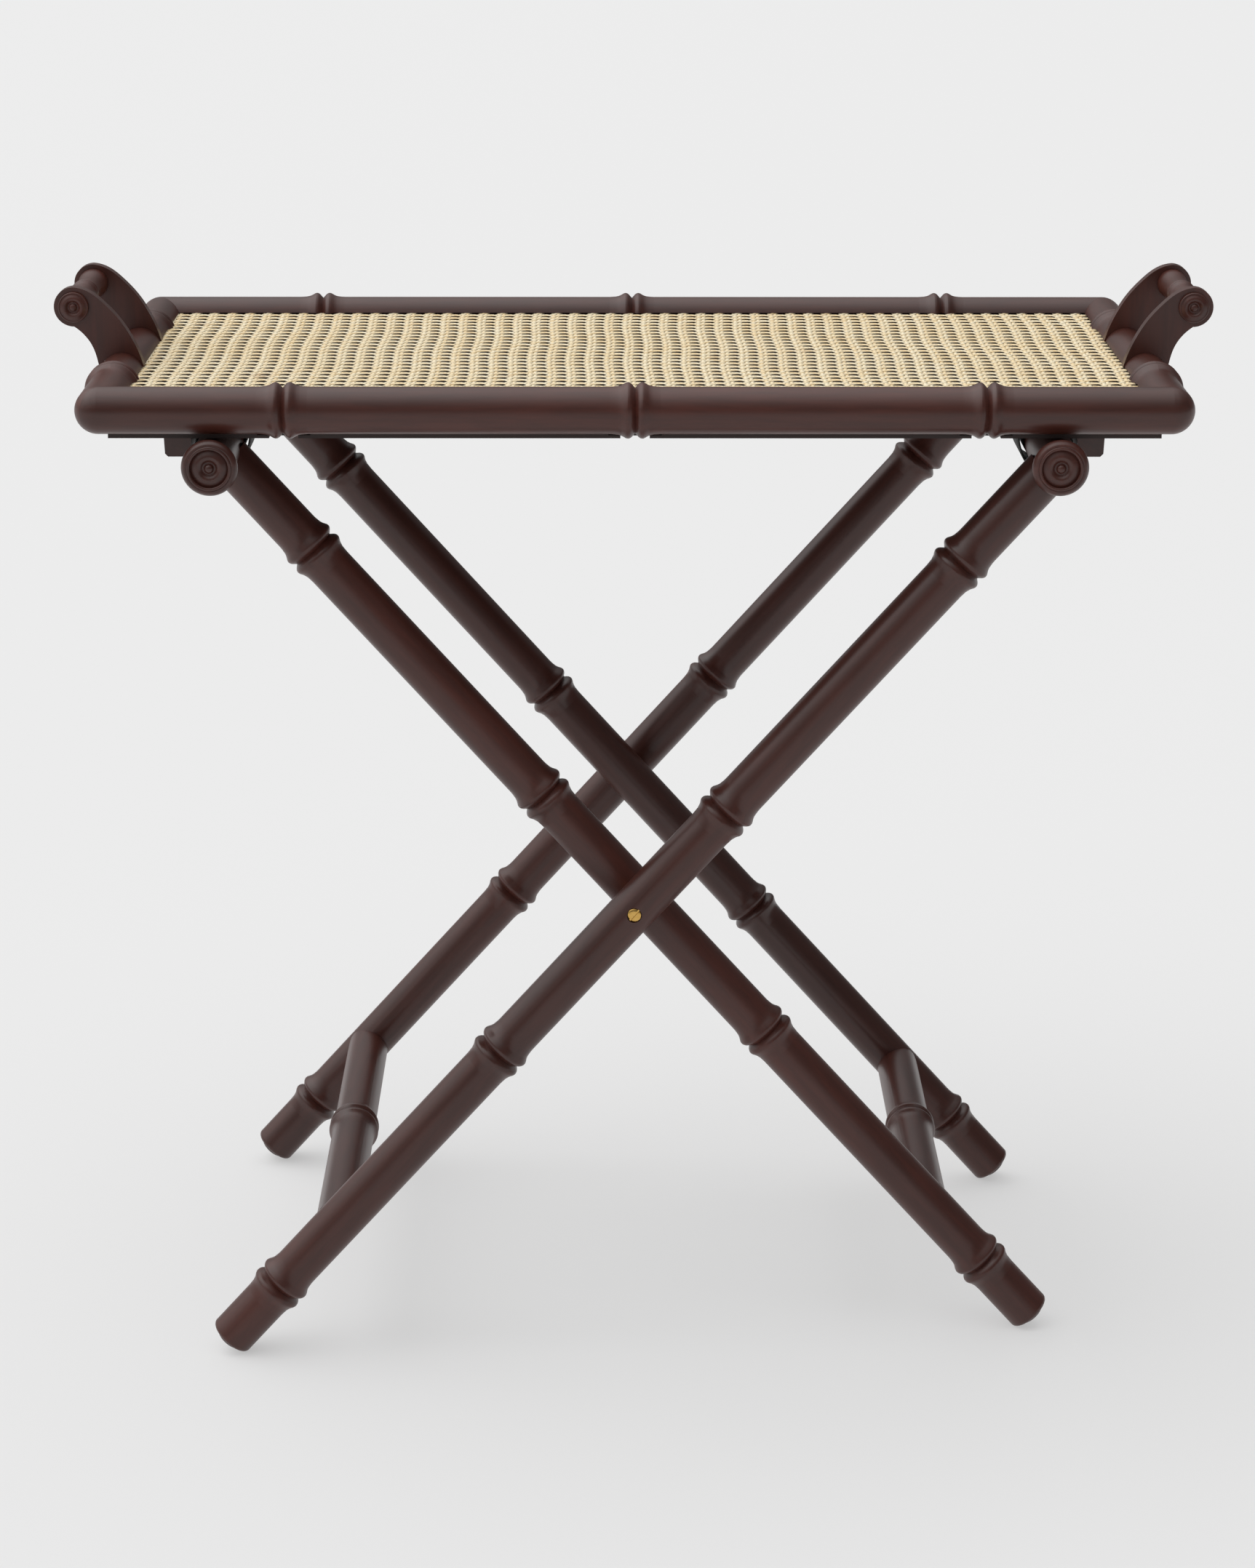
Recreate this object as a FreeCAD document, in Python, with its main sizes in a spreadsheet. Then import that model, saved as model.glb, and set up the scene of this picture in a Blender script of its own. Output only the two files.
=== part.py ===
import FreeCAD, Part
import math
import os

V = FreeCAD.Vector
os.makedirs("parts", exist_ok=True)
doc = FreeCAD.newDocument("folding_tray_table")

# ---------------------------------------------------------------- driving dimensions (mm, degrees)
DIMS = {
    "tray_length": 679.0,        # corner to corner, between rail centre lines
    "tray_depth": 372.0,
    "rail_diameter": 30.0,
    "rail_height": 645.1,        # centre line above the floor
    "ring_pitch": 222.7,         # bamboo nodes along legs and long rails
    "short_ring_offset": 109.0,  # nodes on the short rails, either side of the middle
    "web_rise": 5.0,             # cane webbing above the rail centre line
    "web_thickness": 1.6,
    "web_bite": 3.0,             # how far the webbing's edge enters the kerf
    "board_length": 668.0,
    "board_depth": 371.0,
    "board_thickness": 2.95,
    "board_underside": 627.1,
    "ledger_spread": 353.0,      # over the outer faces of the two ledgers
    "ledger_width": 11.0,
    "ledger_height": 13.0,
    "bracket_thickness": 9.0,
    "handle_grip": 96.0,         # clear length between the brackets
    "handle_reach": 30.7,        # bar centre outboard of the short rail's centre line
    "handle_rise": 45.5,         # bar centre above the rail's centre line
    "grip_diameter": 16.0,
    "bar_tenon_diameter": 9.0,
    "leg_diameter": 30.0,
    "lean_angle": 48.06,         # leg against the floor
    "pivot_height": 312.6,
    "leg_above_pivot": 401.8,    # pivot to the top rail's centre line
    "leg_below_pivot": 408.4,
    "ring_below_pivot": 355.4,   # lowest node of a leg
    "outer_leg_spacing": 360.0,
    "inner_leg_spacing": 277.0,
    "top_rail_diameter": 28.8,
    "top_rail_length": 418.0,
    "knob_diameter": 35.8,
    "stretcher_diameter": 29.4,
    "stretcher_drop": 297.6,     # pivot to stretcher, along the leg
    "tenon_diameter": 12.0,
    "strap_width": 56.0,
    "strap_centre": 93.0,
    "strap_thickness": 1.2,
    "strap_loop": 17.4,          # outer radius of the loop that hangs round a top rail
    "batten_length": 250.0,
    "batten_gap": 19.3,          # top rail's centre line to the batten's inner face
    "glide_diameter": 20.0,
    "glide_height": 4.0,
    "screw_diameter": 6.0,
    "running_gap": 0.05,         # radial clearance of a shaft in its hole
    "seat_gap": 0.03,            # radial clearance of a glued or driven piece
}

sheet = doc.addObject("Spreadsheet::Sheet", "dims")
for row, (alias, value) in enumerate(DIMS.items(), start=1):
    sheet.set("A%d" % row, alias)
    sheet.set("B%d" % row, str(value))
    sheet.setAlias("B%d" % row, alias)
doc.recompute()
D = {alias: float(sheet.get(alias)) for alias in DIMS}

RAIL_R = D["rail_diameter"] / 2
LEG_R = D["leg_diameter"] / 2
TOP_R = D["top_rail_diameter"] / 2
STRETCHER_R = D["stretcher_diameter"] / 2
HALF_X = D["tray_length"] / 2
HALF_Y = D["tray_depth"] / 2
LEAN = math.radians(D["lean_angle"])
TOP_X = D["leg_above_pivot"] * math.cos(LEAN)
TOP_Z = D["pivot_height"] + D["leg_above_pivot"] * math.sin(LEAN)
GRIP = D["handle_grip"] / 2
BRACKET_MID = GRIP + D["bracket_thickness"] / 2
SEAT, RUN = D["seat_gap"], D["running_gap"]

# bamboo node, as (distance from the groove, height over the bar's radius) for a 30 mm bar
NODE_OUTSIDE = [(4.7, 2.85), (6.1, 2.45), (8.0, 1.35), (10.0, 0.6), (12.5, 0.18), (16.0, 0.0)]
NODE_INSIDE = [(0.0, -0.6), (1.3, 0.8), (2.3, 1.9), (3.4, 2.6), (4.7, 2.85)]

exported = []


# ---------------------------------------------------------------- helpers
def axes_placement(base, x_axis, y_axis):
    """Placement whose local X and Y point along the two given directions."""
    z_axis = x_axis.cross(y_axis)
    m = FreeCAD.Matrix(
        x_axis.x, y_axis.x, z_axis.x, base.x,
        x_axis.y, y_axis.y, z_axis.y, base.y,
        x_axis.z, y_axis.z, z_axis.z, base.z,
        0, 0, 0, 1)
    return FreeCAD.Placement(m)


def new_body(name):
    body = doc.addObject("PartDesign::Body", name)
    body.Label = name
    exported.append(body)
    return body


def sketch_on(body, name, role):
    sketch = body.newObject("Sketcher::SketchObject", name)
    plane = next(f for f in body.Origin.OriginFeatures if f.Role == role)
    sketch.AttachmentSupport = [(plane, "")]
    sketch.MapMode = "FlatFace"
    return sketch


def draw(sketch, runs):
    """Close a loop of runs: each is ("line", points) or ("curve", points), end to end."""
    for kind, points in runs:
        pts = [V(x, y, 0) for x, y in points]
        if kind == "line":
            for a, b in zip(pts, pts[1:]):
                sketch.addGeometry(Part.LineSegment(a, b), False)
        else:
            spline = Part.BSplineCurve()
            spline.interpolate(pts)
            sketch.addGeometry(spline, False)


def lathe(body, name, runs):
    """Turn a half profile (radius, height) about the body's own Z axis."""
    sketch = sketch_on(body, name + "_profile", "XZ_Plane")
    draw(sketch, runs)
    turned = body.newObject("PartDesign::Revolution", name)
    turned.Profile = sketch
    turned.ReferenceAxis = (sketch, ["V_Axis"])
    turned.Angle = 360
    doc.recompute()
    return turned


def cylinder_feature(body, kind, name, base, direction, radius, height, radius_is=None):
    """Add ("Additive") or cut ("Subtractive") a cylinder that starts at base."""
    feature = body.newObject("PartDesign::%sCylinder" % kind, name)
    feature.Radius, feature.Height = radius, height
    feature.Placement = FreeCAD.Placement(base, FreeCAD.Rotation(V(0, 0, 1), direction))
    if radius_is:
        feature.setExpression("Radius", radius_is)
    return feature


def cut_through(body, name, role, runs):
    """Pocket a closed outline right through the body, both ways from the plane."""
    sketch = sketch_on(body, name + "_outline", role)
    draw(sketch, runs)
    pocket = body.newObject("PartDesign::Pocket", name)
    pocket.Profile = sketch
    pocket.Type = 1
    pocket.SideType = "Symmetric"
    doc.recompute()
    return pocket


def rectangle(x0, x1, y0, y1):
    return [("line", [(x0, y0), (x1, y0), (x1, y1), (x0, y1), (x0, y0)])]


def turned_wall(radius, bottom, top, rings, scale=None):
    """Outer wall of a turned bar from bottom to top, with a bamboo node at each ring height."""
    k = scale or radius / 15.0
    runs, z = [], bottom
    for ring in rings:
        outside = [(radius + h * k, ring - d * k) for d, h in reversed(NODE_OUTSIDE)]
        lower_lip = [(radius + h * k, ring - d * k) for d, h in reversed(NODE_INSIDE)]
        upper_lip = [(radius + h * k, ring + d * k) for d, h in NODE_INSIDE]
        beyond = [(radius + h * k, ring + d * k) for d, h in NODE_OUTSIDE]
        runs.append(("line", [(radius, z), outside[0]]))
        runs += [("curve", outside), ("curve", lower_lip), ("curve", upper_lip), ("curve", beyond)]
        z = beyond[-1][1]
    runs.append(("line", [(radius, z), (radius, top)]))
    return runs


def quarter_arc(centre_r, centre_z, radius, start, end, steps=8):
    """Points on an arc in the (radius, height) plane, angles in degrees."""
    out = []
    for i in range(steps + 1):
        a = math.radians(start + (end - start) * i / steps)
        out.append((centre_r + radius * math.cos(a), centre_z + radius * math.sin(a)))
    return out


def bound_box(name, length, width, height, base, bind):
    """A Part box with its sides bound to the sheet, standing at base."""
    box = doc.addObject("Part::Box", name)
    box.Length, box.Width, box.Height = length, width, height
    for prop, formula in bind.items():
        box.setExpression(prop, formula)
    box.Placement = FreeCAD.Placement(base, FreeCAD.Rotation())
    return box


def part_cylinder(name, radius, height, base, direction):
    cyl = doc.addObject("Part::Cylinder", name)
    cyl.Radius, cyl.Height = radius, height
    cyl.Placement = FreeCAD.Placement(base, FreeCAD.Rotation(V(0, 0, 1), direction))
    return cyl


def cut(name, base, tools):
    """Part cut of one or several tools, recomputed."""
    tool = tools[0]
    if len(tools) > 1:
        tool = doc.addObject("Part::Compound", name + "_tools")
        tool.Links = tools
    result = doc.addObject("Part::Cut", name)
    result.Base, result.Tool = base, tool
    doc.recompute()
    return result


def group(name, members):
    compound = doc.addObject("Part::Compound", name)
    compound.Links = members
    compound.Label = name
    exported.append(compound)
    doc.recompute()
    return compound


# ---------------------------------------------------------------- screws and holes
def wood_screw(name, tip, direction, length, shank_r, head_r, head_h):
    """Countersunk screw: its head's flat face stands at tip - direction * length."""
    start = tip - direction * length
    turn = FreeCAD.Rotation(V(0, 0, 1), direction)
    head = doc.addObject("Part::Cone", name + "_head")
    head.Radius1, head.Radius2, head.Height = head_r, shank_r, head_h
    head.Placement = FreeCAD.Placement(start, turn)
    shank = doc.addObject("Part::Cylinder", name + "_shank")
    shank.Radius, shank.Height = shank_r, length
    shank.Placement = FreeCAD.Placement(start, turn)
    whole = doc.addObject("Part::MultiFuse", name)
    whole.Shapes = [head, shank]
    return whole


def screw_hole(body, name, start, direction, length, shank_r, head_r, head_h, sink=0.0):
    """Clearance for wood_screw in a PartDesign body: shank hole plus countersink."""
    cylinder_feature(body, "Subtractive", name, start, direction, shank_r + SEAT, length + 0.5)
    cone = body.newObject("PartDesign::SubtractiveCone", name + "_sink")
    cone.Radius1, cone.Radius2, cone.Height = head_r + SEAT, shank_r + SEAT, head_h
    cone.Placement = FreeCAD.Placement(start, FreeCAD.Rotation(V(0, 0, 1), direction))
    if sink:
        cylinder_feature(body, "Subtractive", name + "_well", start - direction * sink, direction,
                         head_r + 4 * SEAT, sink)


# ---------------------------------------------------------------- tray rails
# local frame of every rail: X up, Y towards the middle of the tray, Z along the rail
BRACKET_SCREW_LEN, BRACKET_SCREW_R, BRACKET_HEAD_R = 38.0, 1.9, 3.8
BRACKET_HEAD_H, BRACKET_WELL = 2.6, 5.0
DOWEL_R, DOWEL_HALF = 4.0, 12.0


def make_rail(name, half, rings, base, inward, bracket_holes=()):
    body = new_body(name)
    body.Placement = axes_placement(base, V(0, 0, 1), inward)
    r = RAIL_R
    runs = [("curve", quarter_arc(0, -half, r, -90, 0)),
            *turned_wall(r, -half, half, rings),
            ("curve", quarter_arc(0, half, r, 0, 90)),
            ("line", [(0, half + r), (0, -half - r)])]
    lathe(body, name + "_turning", runs)
    far = half + 60
    for side, tag in ((1, "a"), (-1, "b")):
        cut_through(body, "%s_mitre_%s" % (name, tag), "YZ_Plane", [("line", [
            (-60, side * (half + 60)), (60, side * (half - 60)), (60, side * far),
            (-60, side * (far + 30)), (-60, side * (half + 60))])])
        # dowel hole square to the mitre
        direction = V(0, 1, side).normalize()
        centre = V(0, 0, side * half)
        cylinder_feature(body, "Subtractive", "%s_dowel_%s" % (name, tag),
                         centre - direction * (DOWEL_HALF + 0.3), direction, DOWEL_R + SEAT,
                         2 * DOWEL_HALF + 0.6)
    low = D["web_rise"] - D["web_thickness"] / 2
    cut_through(body, name + "_kerf", "XY_Plane",
                rectangle(low, low + D["web_thickness"],
                          math.sqrt(r * r - D["web_rise"] ** 2) - D["web_bite"], r + 20))
    for i, z in enumerate(bracket_holes):
        screw_hole(body, "%s_bracket_hole_%d" % (name, i), V(-r + BRACKET_WELL, 0, z), V(1, 0, 0),
                   BRACKET_SCREW_LEN, BRACKET_SCREW_R, BRACKET_HEAD_R, BRACKET_HEAD_H,
                   sink=BRACKET_WELL)
    doc.recompute()
    return body


pitch, short = D["ring_pitch"], D["short_ring_offset"]
rail_z = D["rail_height"]
make_rail("tray_rail_front", HALF_X, [-pitch, 0, pitch], V(0, -HALF_Y, rail_z), V(0, 1, 0))
make_rail("tray_rail_rear", HALF_X, [-pitch, 0, pitch], V(0, HALF_Y, rail_z), V(0, -1, 0))
make_rail("tray_rail_left", HALF_Y, [-short, short], V(-HALF_X, 0, rail_z), V(1, 0, 0),
          (-BRACKET_MID, BRACKET_MID))
make_rail("tray_rail_right", HALF_Y, [-short, short], V(HALF_X, 0, rail_z), V(-1, 0, 0),
          (-BRACKET_MID, BRACKET_MID))

dowels = []
for i, (sx, sy) in enumerate(((-1, -1), (1, -1), (1, 1), (-1, 1))):
    across = V(-sx * sy, 1, 0).normalize()
    corner = V(sx * HALF_X, sy * HALF_Y, rail_z)
    dowels.append(part_cylinder("corner_dowel_%d" % i, DOWEL_R, 2 * DOWEL_HALF,
                                corner - across * DOWEL_HALF, across))
group("corner_dowels", dowels)

# ---------------------------------------------------------------- cane webbing, base board, ledgers
web_inset = math.sqrt(RAIL_R ** 2 - D["web_rise"] ** 2) - D["web_bite"]
web = bound_box(
    "cane_webbing", 2 * (HALF_X - web_inset), 2 * (HALF_Y - web_inset), D["web_thickness"],
    V(-HALF_X + web_inset, -HALF_Y + web_inset, rail_z + D["web_rise"] - D["web_thickness"] / 2),
    {"Height": "dims.web_thickness",
     "Length": "dims.tray_length - 2 * (sqrt((dims.rail_diameter / 2)^2 - dims.web_rise^2)"
               " - dims.web_bite)"})
web.Label = "cane_webbing"
exported.append(web)

BOARD_LOW = D["board_underside"]
BOARD_TOP = BOARD_LOW + D["board_thickness"]
LEDGER_MID = D["ledger_spread"] / 2 - D["ledger_width"] / 2
BOARD_SCREW_X = [-285.0, -150.0, 0.0, 150.0, 285.0]
BATTEN_SCREW_Y = [-100.0, 0.0, 100.0]
BATTEN_IN = TOP_X + D["batten_gap"]
BATTEN_OUT = BATTEN_IN + 18.2
BATTEN_LOW = BOARD_LOW - 23.6
SMALL_R, SMALL_HEAD_R, SMALL_HEAD_H = 1.5, 3.0, 1.8
BOARD_SCREW_LEN, BATTEN_SCREW_LEN = 10.5, 19.0



def notched_outline(half_x, half_y):
    """Board outline, anticlockwise, with an edge notch under every bamboo node of the rails."""
    wide, lip = 9.3, 9.9
    floor_y, floor_x = HALF_Y - lip, HALF_X - lip
    bottom = [(-half_x, -half_y)]
    for ring in (-pitch, 0.0, pitch):
        bottom += [(ring - wide, -half_y), (ring - wide, -floor_y),
                   (ring + wide, -floor_y), (ring + wide, -half_y)]
    bottom.append((half_x, -half_y))
    for ring in (-short, short):
        bottom += [(half_x, ring - wide), (floor_x, ring - wide),
                   (floor_x, ring + wide), (half_x, ring + wide)]
    return bottom + [(-x, -y) for x, y in bottom] + [bottom[0]]


board = new_body("base_board")
sketch = sketch_on(board, "board_outline", "XY_Plane")
sketch.AttachmentOffset = FreeCAD.Placement(V(0, 0, BOARD_LOW), FreeCAD.Rotation())
sketch.setExpression(".AttachmentOffset.Base.z", "dims.board_underside")
draw(sketch, [("line", notched_outline(D["board_length"] / 2, D["board_depth"] / 2))])
pad = board.newObject("PartDesign::Pad", "board_pad")
pad.Profile = sketch
pad.Length = D["board_thickness"]
pad.setExpression("Length", "dims.board_thickness")
# the swell of each node runs out beyond its notch and is relieved in the board's upper face
for side in (-1, 1):
    for i, ring in enumerate((-pitch, 0.0, pitch)):
        cylinder_feature(board, "Subtractive", "long_relief_%d%s" % (i, "fr"[side > 0]),
                         V(ring - 17, side * HALF_Y, rail_z), V(1, 0, 0), RAIL_R + 1.05, 34.0)
    for i, ring in enumerate((-short, short)):
        cylinder_feature(board, "Subtractive", "short_relief_%d%s" % (i, "lr"[side > 0]),
                         V(side * HALF_X, ring - 17, rail_z), V(0, 1, 0), RAIL_R + 1.05, 34.0)
doc.recompute()
board_screws, batten_screws = [], []
for i, x in enumerate(BOARD_SCREW_X):
    for side in (-1, 1):
        spot = V(x, side * LEDGER_MID, BOARD_LOW)
        tag = "%d%s" % (i, "f" if side < 0 else "r")
        screw_hole(board, "ledger_hole_" + tag, spot, V(0, 0, 1), BOARD_SCREW_LEN,
                   SMALL_R, SMALL_HEAD_R, SMALL_HEAD_H)
        board_screws.append(wood_screw("board_screw_" + tag, spot + V(0, 0, BOARD_SCREW_LEN),
                                       V(0, 0, 1), BOARD_SCREW_LEN, SMALL_R, SMALL_HEAD_R,
                                       SMALL_HEAD_H))
for side in (-1, 1):
    for i, y in enumerate(BATTEN_SCREW_Y):
        spot = V(side * (BATTEN_IN + BATTEN_OUT) / 2, y, BOARD_TOP)
        tag = "%d%s" % (i, "l" if side < 0 else "r")
        screw_hole(board, "batten_hole_" + tag, spot, V(0, 0, -1), BATTEN_SCREW_LEN,
                   SMALL_R, SMALL_HEAD_R, SMALL_HEAD_H)
        batten_screws.append(wood_screw("batten_screw_" + tag, spot - V(0, 0, BATTEN_SCREW_LEN),
                                        V(0, 0, -1), BATTEN_SCREW_LEN, SMALL_R, SMALL_HEAD_R,
                                        SMALL_HEAD_H))
doc.recompute()
group("board_screws", board_screws)
group("batten_screws", batten_screws)

for side, tag in ((-1, "front"), (1, "rear")):
    y0 = side * LEDGER_MID - D["ledger_width"] / 2
    blank = bound_box("ledger_%s_blank" % tag, 636.0, D["ledger_width"], D["ledger_height"],
                      V(-318.0, y0, BOARD_TOP),
                      {"Width": "dims.ledger_width", "Height": "dims.ledger_height"})
    tools = [part_cylinder("ledger_%s_cope" % tag, RAIL_R + SEAT, 800.0,
                           V(-400, side * HALF_Y, rail_z), V(1, 0, 0))]
    for i, x in enumerate((-pitch, 0.0, pitch)):
        tools.append(part_cylinder("ledger_%s_relief_%d" % (tag, i), RAIL_R + 3.2, 36.0,
                                   V(x - 18, side * HALF_Y, rail_z), V(1, 0, 0)))
    for i, x in enumerate(BOARD_SCREW_X):
        tools.append(part_cylinder("ledger_%s_hole_%d" % (tag, i), SMALL_R + SEAT, 10.0,
                                   V(x, side * LEDGER_MID, BOARD_TOP - 1), V(0, 0, 1)))
    ledger = cut("ledger_strip_" + tag, blank, tools)
    ledger.Label = "ledger_strip_" + tag
    exported.append(ledger)

for side, tag in ((-1, "left"), (1, "right")):
    batten = new_body("stop_batten_" + tag)
    sketch = sketch_on(batten, "batten_section_" + tag, "XZ_Plane")
    draw(sketch, [("line", [(side * BATTEN_IN, BOARD_LOW), (side * BATTEN_OUT, BOARD_LOW),
                            (side * (BATTEN_OUT - 1.0), BATTEN_LOW + 2.0),
                            (side * (BATTEN_OUT - 3.0), BATTEN_LOW),
                            (side * BATTEN_IN, BATTEN_LOW), (side * BATTEN_IN, BOARD_LOW)])])
    pad = batten.newObject("PartDesign::Pad", "batten_pad_" + tag)
    pad.Profile = sketch
    pad.SideType = "Symmetric"
    pad.Length = D["batten_length"]
    pad.setExpression("Length", "dims.batten_length")
    doc.recompute()
    for i, y in enumerate(BATTEN_SCREW_Y):
        cylinder_feature(batten, "Subtractive", "batten_%s_hole_%d" % (tag, i),
                         V(side * (BATTEN_IN + BATTEN_OUT) / 2, y, BOARD_LOW + 1), V(0, 0, -1),
                         SMALL_R + SEAT, BATTEN_SCREW_LEN - 1.5)
    doc.recompute()

# ---------------------------------------------------------------- handles
HEAD_R = 13.0
REACH, RISE = D["handle_reach"], D["handle_rise"]
BRACKET_INNER = [(REACH, RISE + HEAD_R), (20.1, 55.2), (10.2, 47.3), (1.6, 38.0), (-5.5, 27.4),
                 (-10.9, 16.6), (-14.7, 5.6)]
BRACKET_OUTER = [(15.1, 5.6), (16.9, 13.8), (19.6, 20.6), (24.2, 27.0), (REACH, RISE - HEAD_R)]
ROSETTE_R = 10.0


def make_bracket(name, side, y_mid):
    """S-shaped handle bracket, coped over the short rail. side is -1 left, 1 right."""
    body = new_body(name)
    body.Placement = axes_placement(V(side * HALF_X, y_mid, rail_z), V(side, 0, 0), V(0, side, 0))
    sketch = sketch_on(body, name + "_outline", "XZ_Plane")
    head = [(REACH + HEAD_R * math.cos(math.radians(a)), RISE + HEAD_R * math.sin(math.radians(a)))
            for a in range(-90, 91, 15)]
    draw(sketch, [("curve", BRACKET_INNER), ("line", [BRACKET_INNER[-1], BRACKET_OUTER[0]]),
                  ("curve", BRACKET_OUTER), ("curve", head)])
    slab = body.newObject("PartDesign::Pad", name + "_slab")
    slab.Profile = sketch
    slab.SideType = "Symmetric"
    slab.Length = D["bracket_thickness"]
    slab.setExpression("Length", "dims.bracket_thickness")
    doc.recompute()
    cylinder_feature(body, "Subtractive", name + "_cope", V(0, -20, 0), V(0, 1, 0),
                     RAIL_R + SEAT, 40.0, "dims.rail_diameter / 2 + dims.seat_gap")
    cylinder_feature(body, "Subtractive", name + "_socket", V(REACH, -20, RISE), V(0, 1, 0),
                     D["bar_tenon_diameter"] / 2 + SEAT, 40.0,
                     "dims.bar_tenon_diameter / 2 + dims.seat_gap")
    cylinder_feature(body, "Subtractive", name + "_screw_hole", V(0, 0, 0), V(0, 0, 1),
                     BRACKET_SCREW_R + SEAT, BRACKET_SCREW_LEN - RAIL_R + BRACKET_WELL + 0.5)
    doc.recompute()


bracket_screws = []
for side, tag in ((-1, "left"), (1, "right")):
    for end, way in ((-1, "front"), (1, "rear")):
        make_bracket("handle_bracket_%s_%s" % (tag, way), side, end * BRACKET_MID)
        foot = V(side * HALF_X, end * BRACKET_MID, rail_z - RAIL_R + BRACKET_WELL)
        bracket_screws.append(wood_screw("bracket_screw_%s_%s" % (tag, way),
                                         foot + V(0, 0, BRACKET_SCREW_LEN), V(0, 0, 1),
                                         BRACKET_SCREW_LEN, BRACKET_SCREW_R, BRACKET_HEAD_R,
                                         BRACKET_HEAD_H))
group("bracket_screws", bracket_screws)

# grip bar: waisted either side of a middle node and flared where it meets the brackets
GRIP_R = D["grip_diameter"] / 2
TENON_R = D["bar_tenon_diameter"] / 2
for side, tag in ((-1, "left"), (1, "right")):
    body = new_body("handle_bar_" + tag)
    body.Placement = axes_placement(V(side * (HALF_X + REACH), 0, rail_z + RISE),
                                    V(1, 0, 0), V(0, 0, -1))
    flare = [(GRIP_R, 22.0), (GRIP_R + 0.15, 28.0), (GRIP_R + 0.7, 34.0), (GRIP_R + 1.5, 40.0),
             (GRIP_R + 1.95, GRIP - 3.0), (GRIP_R + 2.0, GRIP)]
    tip = GRIP + D["bracket_thickness"]
    runs = [("line", [(0, -tip), (TENON_R, -tip), (TENON_R, -GRIP), (GRIP_R + 2.0, -GRIP)]),
            ("curve", [(r, -z) for r, z in reversed(flare)]),
            *turned_wall(GRIP_R, -22.0, 22.0, [0.0]),
            ("curve", flare),
            ("line", [(GRIP_R + 2.0, GRIP), (TENON_R, GRIP), (TENON_R, tip), (0, tip), (0, -tip)])]
    lathe(body, "grip_turning_" + tag, runs)

# rosette button: rim, ogee, cove and centre pip, turned about Z with its back at zero
ROSETTE = [("line", [(0, 0), (ROSETTE_R, 0), (ROSETTE_R, 2.1)]),
           ("curve", [(ROSETTE_R, 2.1), (9.75, 2.6), (9.3, 2.75), (8.9, 2.5)]),
           ("curve", [(8.9, 2.5), (8.2, 2.75), (7.2, 3.35), (6.1, 3.75), (5.0, 3.55), (4.2, 2.9),
                      (3.6, 2.45), (3.0, 2.35), (2.55, 2.6)]),
           ("curve", [(2.55, 2.6), (2.35, 3.3), (1.5, 3.95), (0.0, 4.2)]),
           ("line", [(0, 4.2), (0, 0)])]
for side, tag in ((-1, "left"), (1, "right")):
    for end, way in ((-1, "front"), (1, "rear")):
        body = new_body("handle_rosette_%s_%s" % (tag, way))
        body.Placement = axes_placement(
            V(side * (HALF_X + REACH), end * (GRIP + D["bracket_thickness"]), rail_z + RISE),
            V(1, 0, 0), V(0, 0, -end))
        lathe(body, "rosette_turning_%s_%s" % (tag, way), ROSETTE)

# ---------------------------------------------------------------- stand frames
# local frame of a leg: Z up along the leg, Y to the back, origin at the pivot
SCREW_R = D["screw_diameter"] / 2
HEAD_RECESS_R, HEAD_RECESS = 4.95, 2.0
SPOT_R, SPOT = 7.3, 1.0
INSERT_R, INSERT_LEN = 4.6, 15.0
LEG_TENON, STRETCHER_TENON = 18.0, 14.0
STRETCHER_TENON_R = 7.0
GLIDE_SHANK_R, GLIDE_SHANK = 2.5, 14.0
UP, DOWN = D["leg_above_pivot"], D["leg_below_pivot"]
LOW_RING = D["ring_below_pivot"]
LEG_RINGS = [-LOW_RING + i * pitch for i in range(4)]
OUTER_Y, INNER_Y = D["outer_leg_spacing"] / 2, D["inner_leg_spacing"] / 2


def leg_axis(lean_side):
    """Unit vector up a leg. lean_side is 1 when the leg's top is to the right."""
    return V(lean_side * math.cos(LEAN), 0, math.sin(LEAN))


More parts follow.
